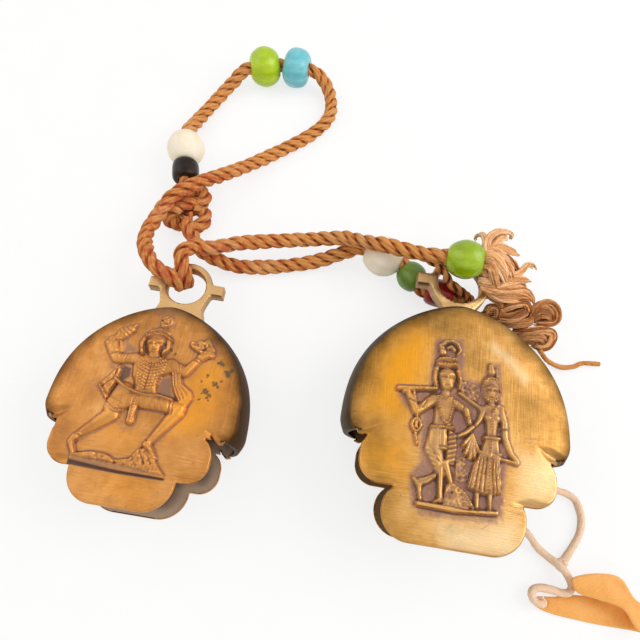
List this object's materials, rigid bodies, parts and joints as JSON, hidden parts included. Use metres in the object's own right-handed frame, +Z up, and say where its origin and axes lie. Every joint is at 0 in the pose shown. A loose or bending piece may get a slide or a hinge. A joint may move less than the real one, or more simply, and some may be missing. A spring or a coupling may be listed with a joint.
{
  "type": "wind chime",
  "caption": "Bell chime: flat cast brass bells with relief figures and free clappers, hung by their rings from a beaded three-strand rope with a hanging loop and a tassel.",
  "frame": {"origin": "centre of the part's base on the table, as it lies flat", "axes": "+Z up out of the table and out of the front plates of the bells, +Y towards the hanging loop, -Y towards the mouths of the bells, +X towards the tassel"},
  "size_m": [0.1874, 0.2072, 0.0309],
  "materials": {
    "left_brass": "satin, worn, warm orange-brown",
    "right_brass": "brushed by hand, yellow, olive-brown in the hollows",
    "rope": "three-strand cotton, tan orange",
    "tassel": "combed-out cotton yarn, pinkish tan",
    "string": "twisted cotton string, pale",
    "lime": "glossy",
    "blue": "glossy",
    "ivory": "satin",
    "black": "glossy",
    "green": "glossy",
    "red": "glossy",
    "card": "smooth, orange tan"
  },
  "bodies": {
    "rope_set": {"hanging_loop_cord": "rope", "top_knot": "rope", "left_ring_hitch": "rope", "upper_span_cord": "rope", "lower_span_cord": "rope", "right_ring_strand": "rope", "end_knot": "rope", "rope_tassel": "tassel", "stray_yarn": "tassel"},
    "left_bell": {"left_bell_shell": "left_brass", "left_bell_relief": "left_brass", "left_hanger_ring": "left_brass", "left_clapper_staple": "left_brass"},
    "left_clapper": {"left_clapper_wire": "left_brass", "left_clapper_ball": "left_brass"},
    "right_bell": {"right_bell_shell": "right_brass", "right_bell_relief": "right_brass", "right_hanger_ring": "right_brass", "right_clapper_staple": "right_brass", "tag_string": "string", "string_knot": "string"},
    "right_clapper": {"right_clapper_wire": "right_brass", "right_clapper_ball": "right_brass"},
    "card_tag": {"card_tag": "card"},
    "black_bead": {"black_bead": "black"},
    "white_loop_bead": {"white_loop_bead": "ivory"},
    "lime_loop_bead": {"lime_loop_bead": "lime"},
    "blue_bead": {"blue_bead": "blue"},
    "white_span_bead": {"white_span_bead": "ivory"},
    "green_bead": {"green_bead": "green"},
    "red_bead": {"red_bead": "red"},
    "lime_end_bead": {"lime_end_bead": "lime"}
  },
  "joints": [
    {"name": "left_bell_swing", "type": "hinge", "parent": "rope_set", "child": "left_bell", "pos_m": [-0.0629, -0.02076, 0.0125], "axis": [0, 0, 1], "range_deg": [-20, 5]},
    {"name": "right_bell_swing", "type": "hinge", "parent": "rope_set", "child": "right_bell", "pos_m": [0.0305, -0.0042, 0.0142], "axis": [0, 0, 1], "range_deg": [-20, 3]},
    {"name": "left_clapper_swing", "type": "hinge", "parent": "left_bell", "child": "left_clapper", "pos_m": [-0.0629, -0.03696, 0.01188], "axis": [-1, 0, 0], "range_deg": [0, 15.7]},
    {"name": "right_clapper_swing", "type": "hinge", "parent": "right_bell", "child": "right_clapper", "pos_m": [0.0305, -0.0226, 0.0135], "axis": [-1, 0, 0], "range_deg": [0, 15.7]},
    {"name": "card_tag_swivel", "type": "hinge", "parent": "right_bell", "child": "card_tag", "pos_m": [0.0646, -0.1003, 0.0004], "axis": [0, 0, 1], "range_deg": [-20, 20]},
    {"name": "black_bead_spin", "type": "hinge", "parent": "rope_set", "child": "black_bead", "pos_m": [-0.078, 0.032, 0.0076], "axis": [-0.2425, 0.9701, 0], "continuous": true},
    {"name": "white_loop_bead_spin", "type": "hinge", "parent": "rope_set", "child": "white_loop_bead", "pos_m": [-0.0808, 0.0433, 0.0076], "axis": [-0.2425, 0.9701, 0], "continuous": true},
    {"name": "lime_loop_bead_spin", "type": "hinge", "parent": "rope_set", "child": "lime_loop_bead", "pos_m": [-0.0582, 0.09335, 0.0085], "axis": [0.9494, 0.3141, 0], "continuous": true},
    {"name": "blue_bead_spin", "type": "hinge", "parent": "rope_set", "child": "blue_bead", "pos_m": [-0.0444, 0.0953, 0.0085], "axis": [0.9991, -0.0431, 0], "continuous": true},
    {"name": "white_span_bead_spin", "type": "hinge", "parent": "rope_set", "child": "white_span_bead", "pos_m": [0.0035, 0.0073, 0.0076], "axis": [0.9655, -0.2575, -0.0386], "continuous": true},
    {"name": "green_bead_spin", "type": "hinge", "parent": "rope_set", "child": "green_bead", "pos_m": [0.0149, 0.00145, 0.00615], "axis": [0.6968, -0.688, -0.2029], "continuous": true},
    {"name": "red_bead_spin", "type": "hinge", "parent": "rope_set", "child": "red_bead", "pos_m": [0.0256, -0.0034, 0.0055], "axis": [0.9885, -0.1402, 0.0561], "continuous": true},
    {"name": "lime_end_bead_spin", "type": "hinge", "parent": "rope_set", "child": "lime_end_bead", "pos_m": [0.0301, 0.0008, 0.0241], "axis": [0.9731, -0.1075, 0.2037], "continuous": true}
  ]
}
